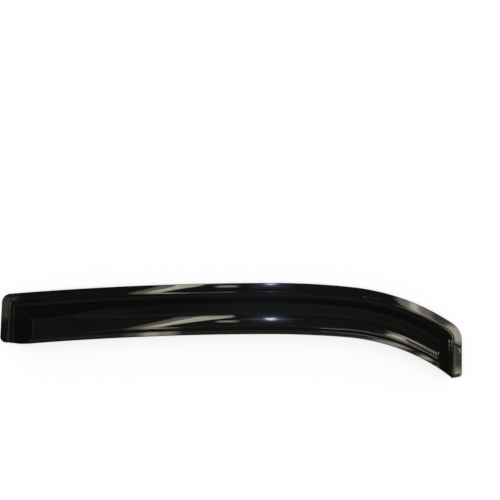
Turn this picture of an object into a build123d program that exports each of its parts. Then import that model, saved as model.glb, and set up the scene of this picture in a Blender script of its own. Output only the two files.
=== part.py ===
"""Window rain deflector for a rear side door, lying on its back.

One moulded sheet: a flat U-shaped flange, a groove and a narrow raised ledge inside it, and a hollow brow
that stands out from the ledge and is open along its lower edge. Strips of foam tape sit in the recess behind
the flange.
Millimetres. X runs from the front end to the rear end, Y up the door, Z out from the door.
"""

import os
from math import acos, asin, atan, atan2, cos, degrees, pi, radians, sin, sqrt, tan

from build123d import *

# Plan of the top edge: three arcs that meet in line, the crown being where it runs level.
length = 680.0
crown_x = 64.0
top_front_radius = 4780.0
top_rear_radius = 1060.0
top_rear_angle = 6.3
top_tail_radius = 328.0

# Plan of the lower edge, which follows the top edge but drops a little faster at the tail.
height_at_crown = 73.8
lower_crown_x = 57.0
lower_front_radius = 4420.0
lower_rear_radius = 1390.0
lower_rear_angle = 4.6
lower_tail_radius = 291.0

# The two end legs and the corners of the outline.
front_set_back = 3.6
front_foot_run = 32.0
front_foot_rise = 1.6
rear_foot_run = 14.2
rear_foot_rise = 3.0
front_top_corner = 13.0
front_low_corner = 9.0
rear_top_corner = 32.0
rear_low_corner = 4.0

# Flange, groove, ledge and sheet. The walls of the brow start from a line on the groove's level.
sheet = 2.5
flange_width = 12.3
groove_width = 1.2
groove_depth = 0.7
ledge_rise = 1.9
foot_inset = 17.1
tape_thickness = 1.0
door_clearance = 0.3
edge_round = 0.5

# Brow: straight walls up from the ledge, one round face, and a stepped lip at the open edge.
wall_angle = 45.0
front_end_angle = 30.7
rear_end_angle = 43.5
face_end_height = 22.4
face_end_angle = 15.0
crease_round = 5.0
crease_angle = 2.5

# Towards the front end the round face goes over into a flat one, and the wall leans further back.
front_flat_start = 190.0
front_flat_end = 55.0
front_wall_angle = 40.0
front_face_angle = 4.0
front_crease_angle = 36.0

# Roundings of the end walls, and the lip.
front_end_round = 3.0
rear_end_round = 5.0
lip_width = 9.0
lip_step_width = 2.0
lip_step_drop = 1.5
lip_angle = 10.0

# Relief score, a square-cornered V cut across the rear leg of the flange and sloping down to the outer edge,
# and a dished mould mark below it.
score_width = 2.3
score_reach = 10.8
score_above_foot = 41.5
score_angle = 30.0
mark_width = 6.2
mark_depth = 0.15
mark_inset = 4.3
mark_below_score = 6.2

# Foam tape.
tape_inset = 0.8
tape_width = 10.0
tape_recess_room = 0.5
tape_gap = 2.0

flange_front = tape_thickness + sheet
groove_front = flange_front - groove_depth
ledge_front = groove_front + ledge_rise
ledge_start = flange_width + groove_width
spare = 1.0
below = 2.0
overrun = 12.0
deep = 120.0
stations = 29


class ArcedEdge:
    """A long edge of three arcs in line, level at its crown, and every curve parallel to it."""

    def __init__(self, crown, front_radius, rear_radius, rear_angle, tail_radius):
        self.crown = crown
        self.front = front_radius
        self.rear = rear_radius
        self.tail = tail_radius
        self.sweep = radians(rear_angle)

    def at(self, x, inset):
        """Height and downward slope angle at x of the curve that lies inset below the edge."""
        x0, y0 = self.crown
        joint = x0 + (self.rear - inset) * sin(self.sweep)
        if x <= x0:
            radius, centre = self.front - inset, (x0, y0 - self.front)
        elif x <= joint:
            radius, centre = self.rear - inset, (x0, y0 - self.rear)
        else:
            back = self.rear - self.tail
            radius = self.tail - inset
            centre = (x0 + back * sin(self.sweep), y0 - self.rear + back * cos(self.sweep))
        angle = asin((x - centre[0]) / radius)
        return centre[1] + radius * cos(angle), angle

    def edges(self, start_x, end_x):
        """The three arcs between two values of x."""
        x0, y0 = self.crown
        joint = x0 + self.rear * sin(self.sweep)
        cuts = [start_x, x0, joint, end_x]
        arcs = []
        for a, b in zip(cuts, cuts[1:]):
            middle = (a + b) / 2
            points = [(x, self.at(x, 0)[0]) for x in (a, middle, b)]
            arcs.append(ThreePointArc(*points))
        return arcs


top = ArcedEdge((crown_x, 0), top_front_radius, top_rear_radius, top_rear_angle, top_tail_radius)
lower = ArcedEdge(
    (lower_crown_x, -height_at_crown),
    lower_front_radius,
    lower_rear_radius,
    lower_rear_angle,
    lower_tail_radius,
)


def corner(face, x, y, radius):
    """Round the corner of a flat face that lies nearest to a point."""
    vertex = min(face.vertices(), key=lambda v: (v.X - x) ** 2 + (v.Y - y) ** 2)
    return fillet(vertex, radius)


# The front leg leans outwards as it goes down. The feet of both legs slant up from the lower edge.
front_top_x = front_set_back - length / 2
front_low_x = front_foot_run - length / 2
rear_low_x = length / 2 - rear_foot_run
front_top = (front_top_x, top.at(front_top_x, 0)[0])
rear_top = (length / 2, top.at(length / 2, 0)[0])
front_low = (front_low_x, lower.at(front_low_x, 0)[0])
rear_low = (rear_low_x, lower.at(rear_low_x, 0)[0])
front_foot = (-length / 2, front_low[1] + front_foot_rise)
rear_foot = (length / 2, rear_low[1] + rear_foot_rise)
front_lean = atan2(front_set_back, front_top[1] - front_foot[1])

outline = make_face(
    top.edges(front_top[0], rear_top[0])
    + [Line(rear_top, rear_foot), Line(rear_foot, rear_low)]
    + lower.edges(front_low_x, rear_low_x)
    + [Line(front_low, front_foot), Line(front_foot, front_top)]
)
outline = corner(outline, *front_top, front_top_corner)
outline = corner(outline, *rear_top, rear_top_corner)
outline = corner(outline, *front_foot, front_low_corner)
outline = corner(outline, *rear_foot, rear_low_corner)

# The same outline with its legs run on far below, so that a curve parallel to it is open at the bottom.
deep_y = rear_foot[1] - deep
deep_front = (front_foot[0] - (front_foot[1] - deep_y) * tan(front_lean), deep_y)
deep_rear = (length / 2, deep_y)
hoop = make_face(
    top.edges(front_top[0], rear_top[0])
    + [Line(rear_top, deep_rear), Line(deep_rear, deep_front), Line(deep_front, front_top)]
)
hoop = corner(hoop, *front_top, front_top_corner)
hoop = corner(hoop, *rear_top, rear_top_corner)


def inside(inset):
    """The area within the top edge and the legs, drawn in by inset."""
    return offset(hoop, -inset, kind=Kind.INTERSECTION)


def raised(area, low, high):
    """A flat area as a slab between two heights."""
    return extrude(Pos(0, 0, low) * area, high - low)


def lip_line(x, past):
    """The stepped lip in the section at x: its start below the step, and its end past the edge."""
    start_y = lower.at(x, lip_step_width - lip_width)[0]
    start_z = face_end_height - lip_step_drop
    end_y = lower.at(x, 0)[0] - past
    end_z = start_z - (start_y - end_y) * tan(radians(lip_angle))
    return (x, start_y, start_z), (x, end_y, end_z)


def brow_section(x, inset):
    """Section of the brow across X: wall, rounded crease, round face and lip, drawn in by inset.

    The wall rises from its foot, the face is one arc that ends at a given height and slope, and the crease
    arc touches both. Near the front end the wall leans back, the crease turns further and the face is
    almost flat. The hollow steps down behind the lip, and the outer body runs straight on for the lip to
    be cut out of it.
    """
    foot_y, lean = top.at(x, foot_inset)
    end_y, end_lean = lower.at(x, -lip_width)
    near = (front_flat_start - (x + length / 2)) / (front_flat_start - front_flat_end)
    near = min(max(near, 0), 1)
    flat = near * near * (3 - 2 * near)
    turn = radians(crease_angle + (front_crease_angle - crease_angle) * flat)
    end_slope = face_end_angle + (front_face_angle - face_end_angle) * flat
    wall_slope = wall_angle + (front_wall_angle - wall_angle) * flat
    wall = atan(tan(radians(wall_slope)) * cos(lean))
    fall = atan(tan(radians(end_slope)) * cos(end_lean))
    start = wall - turn
    run = foot_y - end_y
    rise = face_end_height - groove_front
    radius = (tan(wall) * run - rise) / (tan(wall) * (sin(fall) + sin(start)) + cos(start) - cos(fall))
    face_y = end_y + radius * sin(fall)
    face_z = face_end_height - radius * cos(fall)
    meet = wall - acos((radius * cos(turn) - crease_round) / (radius - crease_round))
    crease_y = face_y + (radius - crease_round) * sin(meet)
    crease_z = face_z + (radius - crease_round) * cos(meet)

    def on_face(angle):
        return (x, face_y + (radius - inset) * sin(angle), face_z + (radius - inset) * cos(angle))

    def on_crease(angle):
        reach = crease_round - inset
        return (x, crease_y + reach * sin(angle), crease_z + reach * cos(angle))

    wall_end = on_crease(wall)
    face_end = on_face(-fall)
    if inset:
        foot_z = -below
        rim = [(x, y, z - inset) for _, y, z in lip_line(x, overrun)]
        edge_y = rim[-1][1]
    else:
        foot_z = groove_front
        edge_y = lower.at(x, 0)[0] - overrun
        rim = [(x, edge_y, face_end[2] - (face_end[1] - edge_y) * tan(fall))]
    foot = (x, wall_end[1] + (wall_end[2] - foot_z) / tan(wall), foot_z)
    rim += [(x, edge_y, -below), (x, foot[1], -below)]
    if foot_z > -below:
        rim += [foot]
    return make_face(
        [
            Line(foot, wall_end),
            ThreePointArc(wall_end, on_crease((wall + meet) / 2), on_crease(meet)),
            ThreePointArc(on_crease(meet), on_face((meet - fall) / 2), face_end),
            Polyline(face_end, *rim),
        ]
    )


def lip_section(x):
    """Section of what is taken off the outer body to leave the stepped lip along the open edge."""
    start, end = lip_line(x, 2 * overrun)
    back_y = start[1] + 2 * lip_step_width
    clear_z = face_end_height + overrun
    return make_face(
        Polyline(
            start,
            end,
            (x, end[1], clear_z),
            (x, back_y, clear_z),
            (x, back_y, start[2] + 2 * lip_step_drop),
            close=True,
        )
    )


def along(section):
    """A solid lofted through a section taken at even steps along the length."""
    reach = length / 2 + overrun
    places = [-reach + 2 * reach * i / (stations - 1) for i in range(stations)]
    return loft([section(x) for x in places])


def end_planes(inset):
    """The sloping end walls as planes that face outwards, drawn in by inset."""
    ends = [(front_foot, front_end_angle, pi - front_lean), (rear_foot, rear_end_angle, 0)]
    planes = []
    for leg, angle, bearing in ends:
        tilt = radians(angle)
        outward = Vector(cos(bearing), sin(bearing), 0)
        normal = outward * sin(tilt) + Vector(0, 0, cos(tilt))
        foot = Vector(*leg, groove_front) - outward * foot_inset
        planes.append(Plane(foot - normal * inset, z_dir=normal))
    return planes


def brow_solid(inset):
    """The brow as a filled body between its two end walls."""
    body = along(lambda x: brow_section(x, inset))
    for plane in end_planes(inset):
        body = split(body, bisect_by=plane, keep=Keep.BOTTOM)
    return body


def end_edges(body, plane):
    """The edges where an end wall meets the top wall and the face."""
    chosen = []
    for edge in body.edges():
        middle = edge @ 0.5
        spots = (edge @ 0, middle, edge @ 1)
        on_plane = all(abs(plane.to_local_coords(p).Z) < 1e-3 for p in spots)
        clear = middle.Y > lower.at(middle.X, 0)[0] - overrun + spare and middle.Z > 0
        if on_plane and clear:
            chosen.append(edge)
    return chosen


brow = brow_solid(0)
front_end, rear_end = end_planes(0)
brow = fillet(end_edges(brow, front_end), front_end_round)
brow = fillet(end_edges(brow, rear_end), rear_end_round)
brow &= raised(outline, -below, face_end_height + overrun)
brow -= along(lip_section)

plate = raised(outline, door_clearance, flange_front)
plate -= raised(inside(flange_width), groove_front, flange_front + spare)
rims = plate.edges().filter_by_position(Axis.Z, flange_front, flange_front)
plate = fillet(rims, min(edge_round, 0.7 * groove_depth))

# The ledge rises from the groove at 45 degrees, and the sheet behind it is drawn up by as much.
ledge = raised(inside(ledge_start), door_clearance, ledge_front)
brinks = ledge.edges().filter_by_position(Axis.Z, ledge_front, ledge_front)
ledge = chamfer(brinks, ledge_rise) & raised(outline, 0, ledge_front)

visor = (plate + ledge + brow) - brow_solid(sheet)
visor -= raised(outline, -below - spare, door_clearance)
visor -= raised(inside(ledge_start + sheet), 0, ledge_front - sheet)

# The recess for the tape, open at the outer edge of the flange.
recess_width = tape_inset + tape_width + tape_recess_room
visor -= raised(hoop - inside(recess_width), 0, tape_thickness)

# The score is the lower half of a square bar that lies on its edge in the front of the flange.
score_mouth = rear_foot[1] + score_above_foot
score_side = score_width / sqrt(2)
score = Rot(0, 0, -score_angle) * Rot(45, 0, 0) * Box(
    2 * score_reach / cos(radians(score_angle)), score_side, score_side
)
visor -= Pos(length / 2, score_mouth, flange_front) * score

# The mark is dished to a ball's radius.
mark_radius = (mark_width**2 / 4 + mark_depth**2) / (2 * mark_depth)
mark_y = score_mouth + mark_inset * tan(radians(score_angle)) - mark_below_score
visor -= Pos(length / 2 - mark_inset, mark_y, flange_front - mark_depth + mark_radius) * Sphere(mark_radius)

# The tape follows the flange in three lengths, parted under the front corner and across the rear corner.
rear_turn = 90 - degrees(top.at(length / 2, 0)[1])
parting = Rectangle(2 * foot_inset, tape_gap)
tape = offset(outline, -tape_inset) - inside(tape_inset + tape_width)
tape -= Pos(*front_top) * Pos(0, -foot_inset) * parting
tape -= Pos(*rear_top) * Rot(0, 0, rear_turn / 2) * parting
front_end_tape, top_tape, rear_end_tape = [
    raised(area, 0, tape_thickness) for area in tape.faces().sort_by(Axis.X)
]

pieces = {
    "visor": visor,
    "top_tape": top_tape,
    "front_end_tape": front_end_tape,
    "rear_end_tape": rear_end_tape,
}

# Set the whole thing over the origin, on the back of the tape.
middle = visor.bounding_box().center()
os.makedirs("parts", exist_ok=True)
for name, piece in pieces.items():
    export_step(Pos(-middle.X, -middle.Y, 0) * piece, f"parts/{name}.step")
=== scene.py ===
"""Window rain deflector for a rear side door, on its back on a white table and seen from straight above."""

import bpy
import numpy as np
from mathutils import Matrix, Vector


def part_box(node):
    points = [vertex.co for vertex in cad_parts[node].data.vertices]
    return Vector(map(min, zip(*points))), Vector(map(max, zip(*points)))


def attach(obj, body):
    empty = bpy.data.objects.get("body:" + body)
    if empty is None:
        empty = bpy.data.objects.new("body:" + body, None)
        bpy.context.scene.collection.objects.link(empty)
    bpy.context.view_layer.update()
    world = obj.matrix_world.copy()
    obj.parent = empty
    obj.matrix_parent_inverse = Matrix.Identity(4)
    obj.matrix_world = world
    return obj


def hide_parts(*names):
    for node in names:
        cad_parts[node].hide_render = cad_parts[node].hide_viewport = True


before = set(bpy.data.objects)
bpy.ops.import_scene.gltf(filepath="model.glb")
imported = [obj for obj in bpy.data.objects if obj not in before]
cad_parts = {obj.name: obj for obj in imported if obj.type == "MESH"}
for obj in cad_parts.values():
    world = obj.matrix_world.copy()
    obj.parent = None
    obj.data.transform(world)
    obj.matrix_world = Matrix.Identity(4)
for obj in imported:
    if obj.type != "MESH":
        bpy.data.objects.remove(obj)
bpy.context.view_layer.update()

# Visor: one moulding in gloss black acrylic, 2.5 mm thick. A flat U-shaped flange is stuck to the door,
# a groove leads to a raised ledge, and from the ledge a hollow brow stands out, open along its lower edge.
# It is moulded in a polished tool, trimmed along the open edge and scored across the rear leg, to flex.
length = 680.0
plan_middle = np.array([length / 2, 0.0]) - 1000 * np.array(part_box("visor")[1][:2])

# The outline, in millimetres. Each edge has its crown's x and y, the radii of its front and rear arcs, the
# angle that the rear arc sweeps, and the tail's radius.
top_edge = (64.0, 0.0, 4780.0, 1060.0, np.radians(6.3), 328.0)
lower_edge = (57.0, -73.8, 4420.0, 1390.0, np.radians(4.6), 291.0)
front_set_back, front_foot_run, front_foot_rise = 3.6, 32.0, 1.6
rear_foot_run, rear_foot_rise = 14.2, 3.0
front_top_corner, front_low_corner, rear_top_corner, rear_low_corner = 13.0, 9.0, 32.0, 4.0

# Flange, groove and ledge: insets from the outline, and heights above the door. The flange is crowned between
# the two ends, and its flat ends fall by a high power of the way from the crest.
sheet, flange_width, flange_crest, flange_back = 2.5, 12.3, 3.5, 1.0
crest_inset, edge_round, rim_band, rim_share = 3.2, 0.5, 1.5, 0.65
front_roll_end, rear_roll_start, roll_blend, roll_power = -240.0, 180.0, 80.0, 22
recess_width, groove_back, pocket_inset, ledge_back = 11.3, 0.3, 16.0, 2.2
groove_height, step_foot, step_angle = 2.56, 13.5, np.radians(41.0)
ledge_start, ledge_angle, wall_run = 15.5, np.radians(14.0), 22.0
score_width, score_reach, score_above_foot, score_angle = 2.3, 10.8, 41.5, np.radians(30.0)
mark_width, mark_depth, mark_inset, mark_below_score = 6.2, 0.15, 4.3, 6.2

# Brow: the slopes of its walls, crease and face, which change over a stretch near the front end, and its lip.
foot_inset, foot_height, face_end_height, crease_round = 18.2, 3.9, 22.4, 5.0
front_end_angle, rear_end_angle = np.radians([29.8, 43.6])
wall_angle, front_wall_angle = 45.0, 40.0
face_end_angle, front_face_angle = 15.0, 4.0
crease_angle, front_crease_angle = 2.5, 36.0
front_flat_start, front_flat_end = 190.0, 55.0
lip_width, lip_step_width, lip_step_drop, lip_angle = 9.0, 2.0, 1.5, np.radians(10.0)
lower_edge_round, trim_height = 0.45, 6.0

# Easings: how far apart in height two surfaces are where the corner between them starts to be rounded. The
# brow has one for the mitre at the front, one for the rest of the front end wall and one for the rear one.
groove_ease, ledge_ease, strip_ease, foot_ease = 0.3, 0.25, 0.2, 0.4
lip_foot_ease, lip_top_ease = 0.25, 0.2
outer_eases, inner_eases = (1.4, 1.6, 1.75), (3.0, 3.0, 3.0)


def arced_edge(x, inset, shape):
    """Height and downward slope at x of the curve that lies inset below an edge of three arcs in line.

    The front arc and the rear arc have their centres under the crown, where the edge is level, and the tail
    arc has its own on the rear arc's last radius. A parallel curve keeps the centres and has each radius
    less the inset, so y = centre_y + radius cos(slope), with sin(slope) = (x - centre_x) / radius.
    """
    crown_x, crown_y, front, rear, sweep, tail = shape
    back = rear - tail
    is_front = x <= crown_x
    is_tail = x > crown_x + (rear - inset) * np.sin(sweep)
    centre_x = np.where(is_tail, crown_x + back * np.sin(sweep), crown_x)
    centre_y = np.where(is_front, crown_y - front, crown_y - rear + is_tail * back * np.cos(sweep))
    radius = np.where(is_front, front, np.where(is_tail, tail, rear)) - inset
    slope = np.arcsin((x - centre_x) / radius)
    return centre_y + radius * np.cos(slope), slope


front_top_x = front_set_back - length / 2
front_low_x = front_foot_run - length / 2
rear_low_x = length / 2 - rear_foot_run
front_low_y = arced_edge(front_low_x, 0, lower_edge)[0]
rear_low_y = arced_edge(rear_low_x, 0, lower_edge)[0]
front_foot = np.array([-length / 2, front_low_y + front_foot_rise])
rear_foot = np.array([length / 2, rear_low_y + rear_foot_rise])
front_lean = np.arctan2(front_set_back, arced_edge(front_top_x, 0, top_edge)[0] - front_foot[1])
leg_up = np.array([np.sin(front_lean), np.cos(front_lean)])
leg_in = np.array([np.cos(front_lean), -np.sin(front_lean)])


def soft_min(a, b, width):
    """The lesser of two heights, with the corner between them eased where they differ by less than width.

    The easing takes off the square of what their difference lacks of the width, over four widths.
    """
    return np.minimum(a, b) - np.clip(width - np.abs(a - b), 0, None) ** 2 / (4 * width)


def smooth_step(value):
    """A rise from 0 to 1 that starts and ends level: 3 v squared less 2 v cubed, v held to that range."""
    held = np.clip(value, 0, 1)
    return held * held * (3 - 2 * held)


def wall_and_face(x):
    """The brow's section across x: foot, wall, crease arc and face arc.

    The wall rises from its foot on the ledge, the face is one arc that ends at a given height and slope, and
    the crease arc touches both. The face's radius is the one with which the wall's line meets it where its
    slope is the wall's less the crease's turn. Near the front end the wall leans back, the crease turns
    further and the face is almost flat.
    """
    foot_y, lean = arced_edge(x, foot_inset, top_edge)
    end_y, end_lean = arced_edge(x, -lip_width, lower_edge)
    flat = smooth_step((front_flat_start - (x + length / 2)) / (front_flat_start - front_flat_end))
    turn = np.radians(crease_angle + (front_crease_angle - crease_angle) * flat)
    end_slope = np.radians(face_end_angle + (front_face_angle - face_end_angle) * flat)
    wall_slope = np.radians(wall_angle + (front_wall_angle - wall_angle) * flat)
    wall = np.arctan(np.tan(wall_slope) * np.cos(lean))
    fall = np.arctan(np.tan(end_slope) * np.cos(end_lean))
    start = wall - turn
    rise = face_end_height - foot_height
    radius = (np.tan(wall) * (foot_y - end_y) - rise) / (
        np.tan(wall) * (np.sin(fall) + np.sin(start)) + np.cos(start) - np.cos(fall)
    )
    face_y = end_y + radius * np.sin(fall)
    face_z = face_end_height - radius * np.cos(fall)
    meet = wall - np.arccos((radius * np.cos(turn) - crease_round) / (radius - crease_round))
    crease_y = face_y + (radius - crease_round) * np.sin(meet)
    crease_z = face_z + (radius - crease_round) * np.cos(meet)
    return wall, meet, fall, radius, face_y, face_z, crease_y, crease_z, end_y, foot_y


def brow_height(x, y, lip, mitre_ease, front_ease, rear_ease):
    """Height of the outer skin over the plan, from the foot of the walls inwards.

    Down the section it is the wall's line, the crease arc, the face arc and the line that the face runs
    out in. The stepped lip is cut below that, the two end walls are sloping planes, and the least of them
    counts, with the edge between two of them eased, at the front mitre by a width of its own.
    """
    wall, meet, fall, radius, face_y, face_z, crease_y, crease_z, end_y, _ = wall_and_face(x)
    wall_y = crease_y + crease_round * np.sin(wall)
    wall_z = crease_z + crease_round * np.cos(wall)
    on_wall = wall_z - (y - wall_y) * np.tan(wall)
    on_crease = crease_z + np.sqrt(np.clip(crease_round**2 - (y - crease_y) ** 2, 0, None))
    on_face = face_z + np.sqrt(np.clip(radius**2 - (y - face_y) ** 2, 0, None))
    run_out = face_end_height - (end_y - y) * np.tan(fall)
    meet_y = crease_y + crease_round * np.sin(meet)
    height = np.where(y > wall_y, on_wall, np.where(y > meet_y, on_crease, on_face))
    height = np.where(y < end_y, run_out, height)
    if lip:
        past = y - arced_edge(x, lip_step_width - lip_width, lower_edge)[0]
        step = past * lip_step_drop / lip_step_width
        shelf = past * np.tan(lip_angle)
        eased = -soft_min(-step, -shelf, lip_foot_ease)
        height = soft_min(height, face_end_height - lip_step_drop + eased, lip_top_ease)
    front_inset = (x - front_foot[0]) * leg_in[0] + (y - front_foot[1]) * leg_in[1]
    front_end = foot_height + (front_inset - foot_inset) * np.tan(front_end_angle)
    rear_end = foot_height + (length / 2 - x - foot_inset) * np.tan(rear_end_angle)
    up_wall = np.clip((y - meet_y) / (wall_y - meet_y), 0, 1)
    height = soft_min(height, front_end, front_ease + (mitre_ease - front_ease) * up_wall)
    return soft_min(height, rear_end, rear_ease)


def rounded_edge(distance, radius):
    """How far the skin drops near an edge: the radius it is rounded to, less the circle's height there."""
    away = np.clip(radius - distance, 0, radius)
    return radius - np.sqrt(radius**2 - away**2)


# Rows run round the visor like contour lines: across the flange, through the groove, over the ledge and up
# the walls. They lie closest where the skin turns, and the wall rows are shares of each wall's own run.
# Samples go up the front leg, along the top and down the rear leg.
rim_rows = np.array([0, 0.02, 0.07, 0.16, 0.3, 0.5, 0.8, 1.4, 2.2, 2.9, 3.4, 3.9, 4.4, 4.9, 5.5, 6.1, 6.6])
recess_rows = np.array([7.1, 7.6, 8.1, 8.8, 9.5, 10.2, 10.8, 11.25, 11.32])
groove_rows = flange_width + np.array([-0.7, -0.5, -0.35, -0.22, -0.1, 0.0, 0.1, 0.22, 0.35, 0.5, 0.7])
step_rows = np.array([13.2, 13.4, 13.6, 13.85, 14.2, 14.7, 15.1, 15.35, 15.5])
ledge_rows = np.array([15.7, 15.97, 16.03, 16.6, 17.2, 17.7, 18.05])
wall_rows = np.array(
    [0, 0.015, 0.03, 0.05, 0.08, 0.12, 0.18, 0.25, 0.34, 0.43, 0.52, 0.61, 0.7, 0.77, 0.82, 0.86, 0.9, 0.935,
     0.97, 1]
)
flat_rows = np.concatenate([rim_rows, recess_rows, groove_rows, step_rows, ledge_rows])
share = np.concatenate([np.zeros(len(flat_rows)), wall_rows])[:, None]
inset = np.concatenate([flat_rows, np.full(len(wall_rows), foot_inset)])[:, None]
low_steps = np.array(
    [0, 0.04, 0.14, 0.3, 0.5, 1.2, 2.6, 4.2, 5.6, 6.5, 6.85, 7.1, 7.4, 7.9, 8.5, 8.9, 9.2, 9.8, 11]
)
leg_steps, corner_steps, top_steps, bend_columns = 36, 8, 250, 14
end_spacing, spacing_growth, full_spacing = 0.6, 0.12, 2.4

# The end walls have plan runs of their own, the top wall's run is held beyond two places, and the corners of
# the rows change up the walls. On the rear leg the samples lie closest at the mark and the score.
front_run, rear_run, front_run_x, rear_run_x = 34.0, 19.8, -305.0, 295.0
tightest_corner, front_corner_growth, rear_corner_growth = 0.7, 5.0, -2.0
steps_to_mark, mark_steps, mark_low, mark_high, score_low = 11, 12, 0.77, 0.94, 0.97
score_sample = steps_to_mark + mark_steps + 2
settle_start, settle_run = 12.5, 4.5


def top_run(x):
    """Plan run of the top wall up to the end of its crease, square to the top edge."""
    held = np.clip(x, front_run_x, rear_run_x)
    _, meet, _, _, _, _, crease_y, _, _, foot_y = wall_and_face(held)
    lean = arced_edge(held, foot_inset, top_edge)[1]
    return (foot_y - crease_y - crease_round * np.sin(meet)) * np.cos(lean)


def up_leg(foot, top):
    """Heights of the samples up a leg: close together over the lip's height, then even up to the corner."""
    share_up = np.linspace(0, 1, leg_steps - len(low_steps) + 2)[1:]
    low, start = foot + low_steps + 0 * top, foot + low_steps[-1]
    return np.concatenate([low, start + (top - start) * share_up], axis=1)


def lower_outline(x):
    """Height of the lower edge at x, with the two feet that slant up from it to the legs."""
    y = arced_edge(np.clip(x, front_low_x, rear_low_x), 0, lower_edge)[0]
    y = y + np.clip(front_low_x - x, 0, None) * front_foot_rise / front_foot_run
    return y + np.clip(x - rear_low_x, 0, None) * rear_foot_rise / rear_foot_run


def hoop_plan():
    """Plan of the rows that run up the front leg, along the top and down the rear leg.

    Each row is the outline drawn in by its inset: two straight legs, three arcs along the top, and a corner
    arc at each end whose centre lies as far inside the leg and the top edge as the inset and its own radius.
    The samples on the rear leg slant with the score across the flange, and settle level on the ledge.
    """
    front_inset = inset + share * front_run
    rear_inset = inset + share * rear_run
    front_corner = np.maximum(front_top_corner - inset, tightest_corner) + front_corner_growth * share
    rear_corner = np.maximum(rear_top_corner - inset, 0) + rear_corner_growth * share
    front_top_inset = inset + share * top_run(front_run_x)
    rear_top_inset = inset + share * top_run(rear_run_x)

    crown_x, crown_y, front, rear, sweep, tail = top_edge
    middle = np.array([crown_x, crown_y - front])
    reach = front - front_top_inset - front_corner
    start = front_foot + leg_in * (front_inset + front_corner) - middle
    along = (start * leg_up).sum(1, keepdims=True)
    rise = np.sqrt(along**2 - (start**2).sum(1, keepdims=True) + reach**2) - along
    front_centre = middle + start + leg_up * rise
    toward = (front_centre - middle) / reach
    turn = np.linspace(0, 1, corner_steps + 1)[None]
    angle = np.pi - front_lean + (np.arctan2(toward[:, 1:], toward[:, :1]) - np.pi + front_lean) * turn
    front_x = front_centre[:, :1] + front_corner * np.cos(angle)
    front_y = front_centre[:, 1:] + front_corner * np.sin(angle)

    back = rear - tail
    middle = np.array([crown_x + back * np.sin(sweep), crown_y - rear + back * np.cos(sweep)])
    reach = tail - rear_top_inset - rear_corner
    centre_x = length / 2 - rear_inset - rear_corner
    centre_y = middle[1] + np.sqrt(reach**2 - (centre_x - middle[0]) ** 2)
    angle = np.arctan2(centre_y - middle[1], centre_x - middle[0]) * (1 - turn)
    rear_x = centre_x + rear_corner * np.cos(angle)
    rear_y = centre_y + rear_corner * np.sin(angle)

    from_end = np.minimum(np.arange(top_steps), np.arange(top_steps)[::-1])
    spacing = np.minimum(end_spacing + spacing_growth * from_end, full_spacing)
    along_top = np.concatenate([[0], np.cumsum(spacing)])[None] / spacing.sum()
    top_x = front_x[:, -1:] + (rear_x[:, :1] - front_x[:, -1:]) * along_top
    top_y = arced_edge(top_x, inset + share * top_run(top_x), top_edge)[0]

    foot_x = front_foot[0] + front_inset / leg_in[0]
    low_round = np.clip(front_low_corner - front_inset, 0, None)
    foot_y = lower_outline(foot_x) + front_low_corner - np.sqrt(front_low_corner**2 - low_round**2)
    front_leg_y = up_leg(foot_y, front_y[:, :1])
    above_foot = front_leg_y - front_foot[1] + front_inset * np.sin(front_lean)
    front_leg_x = foot_x + above_foot * np.tan(front_lean)

    low_round = np.clip(rear_low_corner - rear_inset, 0, None)
    foot_y = lower_outline(length / 2 - rear_inset)
    foot_y = foot_y + rear_low_corner - np.sqrt(rear_low_corner**2 - low_round**2)
    rear_leg_y = up_leg(foot_y, rear_y[:, -1:])
    score_y = rear_foot[1] + score_above_foot + np.minimum(inset, flange_width) * np.tan(score_angle)
    half_score = score_width / 2 / np.cos(score_angle)
    number = np.arange(leg_steps + 1)[None]
    to_mark = np.linspace(0, mark_low, steps_to_mark)
    past_mark = np.linspace(mark_low, mark_high, mark_steps + 1)[1:]
    shares = np.concatenate([to_mark, past_mark, [score_low, 1]])
    share_up = np.interp(number, np.arange(score_sample), shares)
    below = foot_y + (score_y - half_score - foot_y) * share_up
    share_up = (number - score_sample - 1) / (leg_steps - score_sample - 1)
    above = score_y + half_score + (rear_y[:, -1:] - score_y - half_score) * share_up
    slanted = np.where(number < score_sample, below, np.where(number > score_sample, above, score_y))
    rear_leg_y = slanted + (rear_leg_y - slanted) * smooth_step((inset - settle_start) / settle_run)
    rear_leg_x = length / 2 - rear_inset + 0 * rear_leg_y

    x = [front_leg_x, front_x[:, 1:], top_x[:, 1:], rear_x[:, 1:], rear_leg_x[:, -2::-1]]
    y = [front_leg_y, front_y[:, 1:], top_y[:, 1:], rear_y[:, 1:], rear_leg_y[:, -2::-1]]
    return np.concatenate(x, axis=1), np.concatenate(y, axis=1)


hoop_x, hoop_y = hoop_plan()
samples = hoop_x.shape[1]
side_steps = leg_steps + corner_steps // 2
across_steps = top_steps + corner_steps


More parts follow.
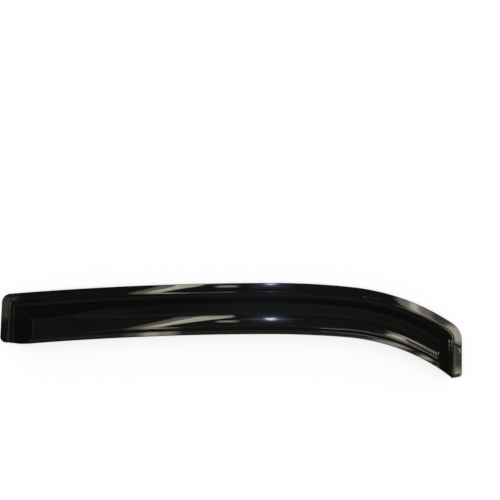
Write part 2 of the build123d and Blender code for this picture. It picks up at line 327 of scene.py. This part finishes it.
def face_plan():
    """Plan of the face inside the last row: columns from the crease down to the open edge.

    Each column is a straight line, and its rows keep the lip's own distances above the open edge, then share
    out what is left. The first and last columns are the last row's own sides, whose shape fades out inwards.
    """
    side = np.arange(side_steps + 1)
    left = np.stack([hoop_x[-1, side], hoop_y[-1, side]])
    right = np.stack([hoop_x[-1, samples - 1 - side], hoop_y[-1, samples - 1 - side]])
    top = np.stack([hoop_x[-1], hoop_y[-1]])[:, side_steps : side_steps + across_steps + 1]
    low_x = left[0, 0] + (right[0, 0] - left[0, 0]) * (top[0] - top[0, 0]) / (top[0, -1] - top[0, 0])
    low = np.stack([low_x, lower_outline(low_x)])
    number = np.arange(across_steps + 1) / across_steps

    def shared(edge):
        """Share of a side's height above the lip's samples that each of its samples has reached."""
        up = edge[1] - edge[1, 0]
        return (up - low_steps[-1]) / (up[-1] - low_steps[-1])

    part = shared(left)[:, None] * (1 - number) + shared(right)[:, None] * number
    height = top[1] - low[1]
    up = low_steps[-1] + (height - low_steps[-1]) * part
    up[: len(low_steps)] = low_steps[:, None]
    up = up / height
    plan = low[:, None] * (1 - up) + top[:, None] * up
    fade = np.clip(1 - np.arange(across_steps + 1) / bend_columns, 0, 1) ** 2
    bend_left = left - plan[:, :, 0]
    bend_right = right - plan[:, :, -1]
    return plan + bend_left[:, :, None] * fade + bend_right[:, :, None] * fade[::-1]


# The face shares its crease and its two sides with the last row, so only the points inside them are new.
face_x, face_y = face_plan()
inner = np.s_[:-1, 1:-1]
plan_x = np.concatenate([hoop_x.ravel(), face_x[inner].ravel()])
plan_y = np.concatenate([hoop_y.ravel(), face_y[inner].ravel()])
points = len(plan_x)

# Across the flange the skin is slightly crowned and falls to the groove, and the ledge steps up from there
# to the foot of the walls. Towards both ends the flange is flat and rolls over at the groove only. The rim
# is rounded, and the brow stands up out of the ledge.
across = np.concatenate([np.repeat(inset, samples), np.full(face_x[inner].size, foot_inset)])
up_wall = np.concatenate([np.repeat(share, samples), np.ones(face_x[inner].size)]) * wall_run
on_front = np.clip((front_roll_end - plan_x) / roll_blend, 0, 1)
on_rear = np.clip((plan_x - rear_roll_start) / roll_blend, 0, 1)
roll = smooth_step(on_front) + smooth_step(on_rear)
from_crest = np.maximum(across - crest_inset, rim_share * (crest_inset - across))
from_crest = from_crest / (flange_width - crest_inset)
fall = (1 - roll) * from_crest**2 + roll * from_crest**roll_power
crown = flange_crest - (flange_crest - groove_height) * fall - rounded_edge(across, edge_round)
to_step = (step_foot - across - up_wall) * np.tan(step_angle)
groove = groove_height - soft_min(0 * across, to_step, groove_ease)
ledge = groove_height + (ledge_start - step_foot) * np.tan(step_angle)
ledge = ledge + (across + up_wall * (1 - on_front) - ledge_start) * np.tan(ledge_angle)
strip = -soft_min(-crown, -soft_min(groove, ledge, ledge_ease), strip_ease)
front_z = -soft_min(-strip, -brow_height(plan_x, plan_y, True, *outer_eases), foot_ease)
above_edge = plan_y - lower_outline(plan_x)
unrounded = front_z.copy()
front_z -= rounded_edge(above_edge, lower_edge_round) * (across > rim_band)

# The score on the rear leg is a V with a right angle at its foot, and the mark below it is a shallow dish,
# the cap of a sphere.
number = np.arange(hoop_x.size).reshape(hoop_x.shape)
front_z[number[inset[:, 0] < score_reach, samples - 1 - score_sample]] -= score_width / 2
mark_radius = (mark_width**2 / 4 + mark_depth**2) / (2 * mark_depth)
mark_y = rear_foot[1] + score_above_foot + mark_inset * np.tan(score_angle) - mark_below_score
from_mark = (plan_x - length / 2 + mark_inset) ** 2 + (plan_y - mark_y) ** 2
front_z -= np.clip(np.sqrt(np.clip(mark_radius**2 - from_mark, 0, None)) - mark_radius + mark_depth, 0, None)


def inner_slope(step_x, step_y):
    """Slope of the hollow side: the height a step ahead less the height a step behind, over both steps.

    Its corners are eased more than those of the outer skin.
    """
    ahead = brow_height(plan_x + step_x, plan_y + step_y, False, *inner_eases)
    behind = brow_height(plan_x - step_x, plan_y - step_y, False, *inner_eases)
    return np.where(is_flat, 0, (ahead - behind) / (2 * (step_x + step_y)))


# The hollow side lies one sheet thickness behind the skin, square to it. The open edge is trimmed upright.
is_flat, small_step = across < foot_inset, 0.05
slope_x, slope_y = inner_slope(small_step, 0), inner_slope(0, small_step)
steepness = np.sqrt(1 + slope_x**2 + slope_y**2)
lean_in = sheet / steepness * np.clip(above_edge / trim_height, 0, 1)
back_x = plan_x + lean_in * slope_x
back_y = plan_y + lean_in * slope_y
hollow = np.maximum(unrounded + lean_in * (steepness**2 - 1) - sheet * steepness, ledge_back)
back_z = np.where(is_flat, np.where(across < pocket_inset, groove_back, ledge_back), hollow)
back_z = np.where(across < recess_width, flange_back, back_z)
verts = np.stack(
    [
        np.concatenate([plan_x, back_x]) - plan_middle[0],
        np.concatenate([plan_y, back_y]) - plan_middle[1],
        np.concatenate([front_z, back_z]),
    ],
    axis=1,
)

face_number = np.zeros(face_x.shape, int)
face_number[:, 0] = number[-1, : side_steps + 1]
face_number[:, -1] = number[-1, samples - side_steps - 1 :][::-1]
face_number[-1] = number[-1, side_steps : side_steps + across_steps + 1]
face_number[inner] = hoop_x.size + np.arange(face_x[inner].size).reshape(face_x[inner].shape)
hoop_quads = np.stack([number[:-1, :-1], number[1:, :-1], number[1:, 1:], number[:-1, 1:]], axis=-1)
face_quads = np.stack(
    [face_number[:-1, :-1], face_number[:-1, 1:], face_number[1:, 1:], face_number[1:, :-1]], axis=-1
)
skin = np.concatenate([hoop_quads.reshape(-1, 4), face_quads.reshape(-1, 4)])

# An edge of the skin that only one of its faces uses is at the rim, where a strip joins the two sides.
starts, ends = skin.ravel(), np.roll(skin, -1, axis=1).ravel()
open_edge = ~np.isin(starts * points + ends, ends * points + starts)
starts, ends = starts[open_edge], ends[open_edge]
rim = np.stack([ends, starts, starts + points, ends + points], axis=1)
quads = np.concatenate([skin, skin[:, ::-1] + points, rim])

# A sharper turn than this between two faces is shaded as an edge.
sharp_turn = np.radians(32)
visor_mesh = bpy.data.meshes.new("visor_skin")
visor_mesh.from_pydata(verts * 0.001, [], quads.tolist())
visor_mesh.validate()
visor_mesh.polygons.foreach_set("use_smooth", np.ones(len(visor_mesh.polygons), bool))
visor_mesh.set_sharp_from_angle(angle=sharp_turn)
visor = bpy.data.objects.new("visor_skin", visor_mesh)
bpy.context.scene.collection.objects.link(visor)

gloss_black = bpy.data.materials.new("gloss_black_acrylic")
gloss_black.use_nodes = True
nodes, links = gloss_black.node_tree.nodes, gloss_black.node_tree.links
shader = nodes["Principled BSDF"]
shader.inputs["IOR"].default_value = 1.49
place = nodes.new("ShaderNodeTexCoord")

# The sheet is a little uneven from the tool and from handling, so the tint and the polish drift over it.
drift = nodes.new("ShaderNodeTexNoise")
drift.inputs["Scale"].default_value = 14.0
drift.inputs["Detail"].default_value = 4.0
tint = nodes.new("ShaderNodeMix")
tint.data_type = "RGBA"
tint.inputs["A"].default_value = (0.0024, 0.0024, 0.0020, 1)
tint.inputs["B"].default_value = (0.0034, 0.0034, 0.0030, 1)
polish = nodes.new("ShaderNodeMapRange")
polish.inputs["From Min"].default_value, polish.inputs["From Max"].default_value = 0.3, 0.7
polish.inputs["To Min"].default_value, polish.inputs["To Max"].default_value = 0.018, 0.036

# Wiping leaves hair-fine marks along its length, seen only as threads of duller gloss.
stretch = nodes.new("ShaderNodeMapping")
stretch.inputs["Scale"].default_value = (60.0, 2400.0, 2400.0)
wipe = nodes.new("ShaderNodeTexNoise")
wipe.inputs["Detail"].default_value = 3.0
threads = nodes.new("ShaderNodeMapRange")
threads.inputs["From Min"].default_value, threads.inputs["From Max"].default_value = 0.64, 0.74
threads.inputs["To Min"].default_value, threads.inputs["To Max"].default_value = 0.0, 0.06
dullness = nodes.new("ShaderNodeMath")

# A ripple of a few thousandths of a millimetre is left from the tool, and bends the lights in the gloss.
ripple = nodes.new("ShaderNodeTexNoise")
ripple.inputs["Scale"].default_value = 55.0
ripple.inputs["Detail"].default_value = 2.0
bump = nodes.new("ShaderNodeBump")
bump.inputs["Strength"].default_value = 1.0
bump.inputs["Distance"].default_value = 0.000012
for source, target in (
    (place.outputs["Object"], drift.inputs["Vector"]),
    (place.outputs["Object"], stretch.inputs["Vector"]),
    (place.outputs["Object"], ripple.inputs["Vector"]),
    (stretch.outputs["Vector"], wipe.inputs["Vector"]),
    (drift.outputs["Fac"], tint.inputs["Factor"]),
    (drift.outputs["Fac"], polish.inputs["Value"]),
    (wipe.outputs["Fac"], threads.inputs["Value"]),
    (polish.outputs["Result"], dullness.inputs[0]),
    (threads.outputs["Result"], dullness.inputs[1]),
    (ripple.outputs["Fac"], bump.inputs["Height"]),
    (tint.outputs["Result"], shader.inputs["Base Color"]),
    (dullness.outputs["Value"], shader.inputs["Roughness"]),
    (bump.outputs["Normal"], shader.inputs["Normal"]),
):
    links.new(source, target)
visor_mesh.materials.append(gloss_black)
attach(visor, "root")
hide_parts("visor")

# Tape: three lengths of dark grey closed-cell foam, 1 mm thick, sticky on both sides, in the recess behind
# the flange. They are die-cut strips, so only their pores and their cut sides show.
foam = bpy.data.materials.new("foam_tape")
foam.use_nodes = True
nodes, links = foam.node_tree.nodes, foam.node_tree.links
shader = nodes["Principled BSDF"]
place = nodes.new("ShaderNodeTexCoord")
cells = nodes.new("ShaderNodeTexVoronoi")
cells.inputs["Scale"].default_value = 2600.0
blotch = nodes.new("ShaderNodeTexNoise")
blotch.inputs["Scale"].default_value = 180.0
blotch.inputs["Detail"].default_value = 3.0
grey = nodes.new("ShaderNodeMix")
grey.data_type = "RGBA"
grey.inputs["A"].default_value = (0.014, 0.014, 0.016, 1)
grey.inputs["B"].default_value = (0.034, 0.035, 0.038, 1)
matt = nodes.new("ShaderNodeMapRange")
matt.inputs["To Min"].default_value, matt.inputs["To Max"].default_value = 0.7, 0.95
pores = nodes.new("ShaderNodeBump")
pores.inputs["Strength"].default_value = 0.6
pores.inputs["Distance"].default_value = 0.0001
for source, target in (
    (place.outputs["Object"], cells.inputs["Vector"]),
    (place.outputs["Object"], blotch.inputs["Vector"]),
    (blotch.outputs["Fac"], grey.inputs["Factor"]),
    (cells.outputs["Distance"], matt.inputs["Value"]),
    (cells.outputs["Distance"], pores.inputs["Height"]),
    (grey.outputs["Result"], shader.inputs["Base Color"]),
    (matt.outputs["Result"], shader.inputs["Roughness"]),
    (pores.outputs["Normal"], shader.inputs["Normal"]),
):
    links.new(source, target)
for name in ("top_tape", "front_end_tape", "rear_end_tape"):
    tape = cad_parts[name]
    tape.data.materials.clear()
    tape.data.materials.append(foam)

# Table: a matt white top that the visor lies on. The lens sees it as nearly plain white, with what is left
# of the visor's shadow, and the gloss doesn't see it. Its reach is in metres.
table_reach = 4.0
table_mesh = bpy.data.meshes.new("table")
table_corners = np.array([(-1, -1, 0), (1, -1, 0), (1, 1, 0), (-1, 1, 0)]) * table_reach
table_mesh.from_pydata(table_corners, [], [(0, 1, 2, 3)])
table = bpy.data.objects.new("table", table_mesh)
bpy.context.scene.collection.objects.link(table)
table_white = bpy.data.materials.new("table_white")
table_white.use_nodes = True
nodes, links = table_white.node_tree.nodes, table_white.node_tree.links
shader = nodes["Principled BSDF"]
shader.inputs["Base Color"].default_value = (0.95, 0.95, 0.95, 1)
shader.inputs["Roughness"].default_value = 0.9
shader.inputs["Specular IOR Level"].default_value = 0.0
ray = nodes.new("ShaderNodeLightPath")
plain_white = nodes.new("ShaderNodeEmission")
white_part = nodes.new("ShaderNodeMath")
white_part.operation = "MULTIPLY"
white_part.inputs[1].default_value = 0.7
blend = nodes.new("ShaderNodeMixShader")
links.new(ray.outputs["Is Camera Ray"], white_part.inputs[0])
links.new(white_part.outputs["Value"], blend.inputs["Fac"])
links.new(shader.outputs["BSDF"], blend.inputs[1])
links.new(plain_white.outputs["Emission"], blend.inputs[2])
links.new(blend.outputs["Shader"], nodes["Material Output"].inputs["Surface"])
table_mesh.materials.append(table_white)
table.visible_glossy = False

# Soft light: even white light from all round, as in a light tent. The gloss sees a dark room in its place,
# because the visor's walls are nearly black in such a picture.
world = bpy.data.worlds.new("soft_white_light")
world.use_nodes = True
nodes, links = world.node_tree.nodes, world.node_tree.links
nodes["Background"].inputs["Color"].default_value = (1, 1, 1, 1)
ray = nodes.new("ShaderNodeLightPath")
level = nodes.new("ShaderNodeMapRange")
level.inputs["To Min"].default_value, level.inputs["To Max"].default_value = 1.05, 0.015
links.new(ray.outputs["Is Glossy Ray"], level.inputs["Value"])
links.new(level.outputs["Result"], nodes["Background"].inputs["Strength"])
bpy.context.scene.world = world

# Camera: straight above the table and looking down, with its place in the visor's own plan. The visor is a
# little left of the picture's middle and well below it.
eye_plan, eye_height = np.array([28.12, 48.52]), 1250.0
eye = np.append(eye_plan - plan_middle, eye_height) * 0.001
camera = bpy.data.objects.new("camera", bpy.data.cameras.new("camera"))
camera.location = eye
camera.data.lens = 60.99
camera.data.sensor_width = 36.0
bpy.context.scene.collection.objects.link(camera)
bpy.context.scene.camera = camera
bpy.context.scene.view_settings.view_transform = "Standard"

# What the gloss shows: glowing cards above the table, for the dim walls of the room, a window on the left,
# one on the right, a lamp at the side and the flash beside the lens. Nothing but the gloss sees them, so they
# light nothing else. Their heights are in metres.
card_height, card_gap, card_rows, card_columns = 2.0, 0.002, 40, 12
cards = []


def card(name, rows, colour, strength, edge, end):
    """A glowing card over the table that only the gloss sees.

    Each row gives the angles, in degrees seen from under the lens, of its left side, its right side and its
    place along the card. The surface runs straight from side to side and follows the rows along. The glow
    fades over the given shares of its width and length at each side and end. Each card hangs a little above
    the one before, so that their light adds up.
    """
    height = card_height + card_gap * len(cards)
    left, right, along = np.array(rows, float).T
    fine = np.linspace(0, 1, card_rows)
    coarse = np.linspace(0, 1, len(along))
    side = np.linspace(0, 1, card_columns)[None]
    left, right, along = (np.interp(fine, coarse, value)[:, None] for value in (left, right, along))
    x = eye[0] + height * np.tan(np.radians(left + (right - left) * side))
    y = eye[1] + height * np.tan(np.radians(along + 0 * side))
    grid = np.arange(x.size).reshape(x.shape)
    quads = np.stack([grid[:-1, :-1], grid[:-1, 1:], grid[1:, 1:], grid[1:, :-1]], axis=-1)
    quads = quads.reshape(-1, 4)
    mesh = bpy.data.meshes.new(name)
    mesh.from_pydata(np.stack([x.ravel(), y.ravel(), np.full(x.size, height)], 1), [], quads.tolist())
    uv = np.stack([(side + 0 * x).ravel(), (fine[:, None] + 0 * x).ravel()], 1)[quads.ravel()]
    mesh.uv_layers.new(name="share").data.foreach_set("uv", uv.ravel())
    glow = bpy.data.materials.new(name)
    glow.use_nodes = True
    tree = glow.node_tree
    tree.nodes.clear()
    place = tree.nodes.new("ShaderNodeUVMap")
    place.uv_map = "share"
    split = tree.nodes.new("ShaderNodeSeparateXYZ")
    tree.links.new(place.outputs["UV"], split.inputs["Vector"])
    fades = []
    for axis, width in (("X", edge), ("Y", end)):
        for low, high in ((0.0, width), (1.0, 1.0 - width)):
            fade = tree.nodes.new("ShaderNodeMapRange")
            fade.interpolation_type = "SMOOTHSTEP"
            fade.inputs["From Min"].default_value = low
            fade.inputs["From Max"].default_value = high
            tree.links.new(split.outputs[axis], fade.inputs["Value"])
            fades.append(fade.outputs["Result"])
    total = fades[0]
    for fade in fades[1:]:
        product = tree.nodes.new("ShaderNodeMath")
        product.operation = "MULTIPLY"
        tree.links.new(total, product.inputs[0])
        tree.links.new(fade, product.inputs[1])
        total = product.outputs["Value"]
    level = tree.nodes.new("ShaderNodeMath")
    level.operation = "MULTIPLY"
    level.inputs[1].default_value = strength
    tree.links.new(total, level.inputs[0])
    light = tree.nodes.new("ShaderNodeEmission")
    light.inputs["Color"].default_value = (*colour, 1)
    tree.links.new(level.outputs["Value"], light.inputs["Strength"])
    clear = tree.nodes.new("ShaderNodeBsdfTransparent")
    both = tree.nodes.new("ShaderNodeAddShader")
    tree.links.new(light.outputs["Emission"], both.inputs[0])
    tree.links.new(clear.outputs["BSDF"], both.inputs[1])
    out = tree.nodes.new("ShaderNodeOutputMaterial")
    tree.links.new(both.outputs["Shader"], out.inputs["Surface"])
    mesh.materials.append(glow)
    piece = bpy.data.objects.new(name, mesh)
    bpy.context.scene.collection.objects.link(piece)
    piece.visible_camera = piece.visible_diffuse = False
    piece.visible_shadow = piece.visible_transmission = False
    cards.append(piece)


wall_white, wall_cream, daylight, lamp_white = (1.0, 1.0, 0.9), (1.0, 1.0, 0.8), (1.0, 0.93, 0.74), (1, 1, 1)
flash_blue, flash_pale, flash_white = (0.48, 0.64, 1.0), (0.7, 0.8, 1.0), (0.85, 0.93, 1.0)
card("dim_room", [(-50, 80, -80), (-50, 80, 14)], wall_cream, 0.055, 0.02, 0.03)
card("upper_room", [(-70, 75, 58), (-70, 75, 76)], wall_white, 0.04, 0.2, 0.4)
card("upper_left_room", [(-75, -15, 28), (-75, -15, 62)], wall_white, 0.1, 0.12, 0.2)
card("upper_right_room", [(-18, 80, 26), (-18, 80, 84)], wall_white, 0.065, 0.15, 0.25)
card("picture_rail", [(-40, 40, 12), (-40, 40, 40)], wall_white, 0.13, 0.1, 0.5)
card("low_room", [(-60, 60, -30), (-60, 60, -24.2)], wall_white, 0.2, 0.1, 0.35)
card("left_room", [(-43, -31, -35), (-43, -31, 35)], wall_white, 0.3, 0.2, 0.2)
card("far_left_pane", [(-27, -23.5, -7.8), (-27, -23.5, -4.8)], wall_white, 0.7, 0.2, 0.25)
card(
    "left_window",
    [(-11.9, -9.7, -32), (-11.5, -9.5, -26), (-10.6, -8.7, -20), (-9.8, -7.8, -15), (-9.0, -6.7, -10),
     (-8.4, -5.4, -4), (-8.0, -4.6, 0), (-7.5, -3.2, 4.5), (-7.0, -2.2, 9), (-6.6, -1.9, 13),
     (-6.0, -2.0, 18), (-5.5, -2.5, 21)],
    daylight, 8.0, 0.06, 0.25,
)
card(
    "left_window_frame",
    [(-14.5, -9.5, -34), (-13.0, -9.0, -22), (-11.8, -8.0, -14), (-11.0, -7.0, -6), (-10.3, -6.5, 0),
     (-9.6, -6.0, 8), (-9.3, -5.2, 14), (-9.2, -4.4, 19)],
    daylight, 2.2, 0.3, 0.15,
)
card("left_window_low", [(-12.2, -7.0, -31.5), (-12.2, -7.0, -26.5)], daylight, 4.5, 0.35, 0.3)
card("left_window_sill", [(-9.4, -6.9, -40), (-9.4, -6.9, -35.5)], daylight, 1.8, 0.3, 0.3)
card("left_window_pane", [(-4.0, -0.9, -12.5), (-4.0, -0.9, -2.5)], daylight, 5.0, 0.35, 0.35)
card(
    "right_window",
    [(10.4, 11.0, -27), (10.8, 11.8, -23.5), (12.2, 13.4, -18.5), (13.3, 14.9, -14.4), (14.4, 16.3, -10.5)],
    daylight, 9.0, 0.2, 0.2,
)
card(
    "right_window_top",
    [(13.5, 18.6, -16), (14.1, 18.6, -12), (14.4, 18.6, -9), (15.0, 18.6, -6), (15.6, 18.6, -3)],
    daylight, 2.9, 0.25, 0.2,
)
card("right_window_top_light", [(16.5, 18.2, -16), (16.5, 18.2, -3)], daylight, 6.8, 0.5, 0.2)
card("right_window_top_end", [(17.7, 19.4, -16), (17.7, 19.4, -3)], daylight, 2.4, 0.4, 0.2)
card(
    "right_window_frame",
    [(10.8, 30, -28), (13, 30, -20), (15, 30, -13), (17.6, 30, -8), (19, 30, -4)],
    daylight, 0.9, 0.06, 0.25,
)
card("right_window_sill", [(8.3, 10.7, -29.5), (8.3, 10.7, -28.45)], daylight, 5.5, 0.2, 0.4)
card("right_window_sill_end", [(8.2, 10.2, -30.45), (8.2, 10.2, -29.75)], daylight, 6.5, 0.2, 0.4)
card("right_window_pane", [(19.9, 24, -10.4), (19.9, 24, -7.8)], daylight, 7.0, 0.2, 0.3)
card("right_window_foot", [(6.6, 8.9, -32), (6.6, 8.9, -30.7)], daylight, 9.0, 0.2, 0.3)
card("right_window_low_pane", [(19, 24, -18), (20.5, 23, -12.2)], daylight, 6.0, 0.2, 0.2)
card("side_lamp", [(52, 70, -15), (52, 70, -10)], lamp_white, 30.0, 0.3, 0.3)
card("flash_haze", [(-0.8, 5.3, -25), (-0.8, 5.3, 29)], flash_blue, 1.2, 0.5, 0.5)
card("flash_bloom", [(1.0, 3.5, -11), (1.0, 3.5, 14)], flash_blue, 5.0, 0.5, 0.5)
card("flash_streak", [(-2.6, 6.6, -2), (-2.6, 6.6, 5)], flash_pale, 1.5, 0.5, 0.5)
card(
    "flash_glow",
    [(-16, 20, -50), (-16, 20, 0), (-20, 24, 30), (-45, 65, 70), (-68, 82, 87), (-80, 86, 89)],
    flash_blue, 0.07, 0.5, 0.2,
)
card("flash", [(1.45, 3.05, -5), (1.45, 3.05, 8)], flash_white, 28.0, 0.5, 0.5)
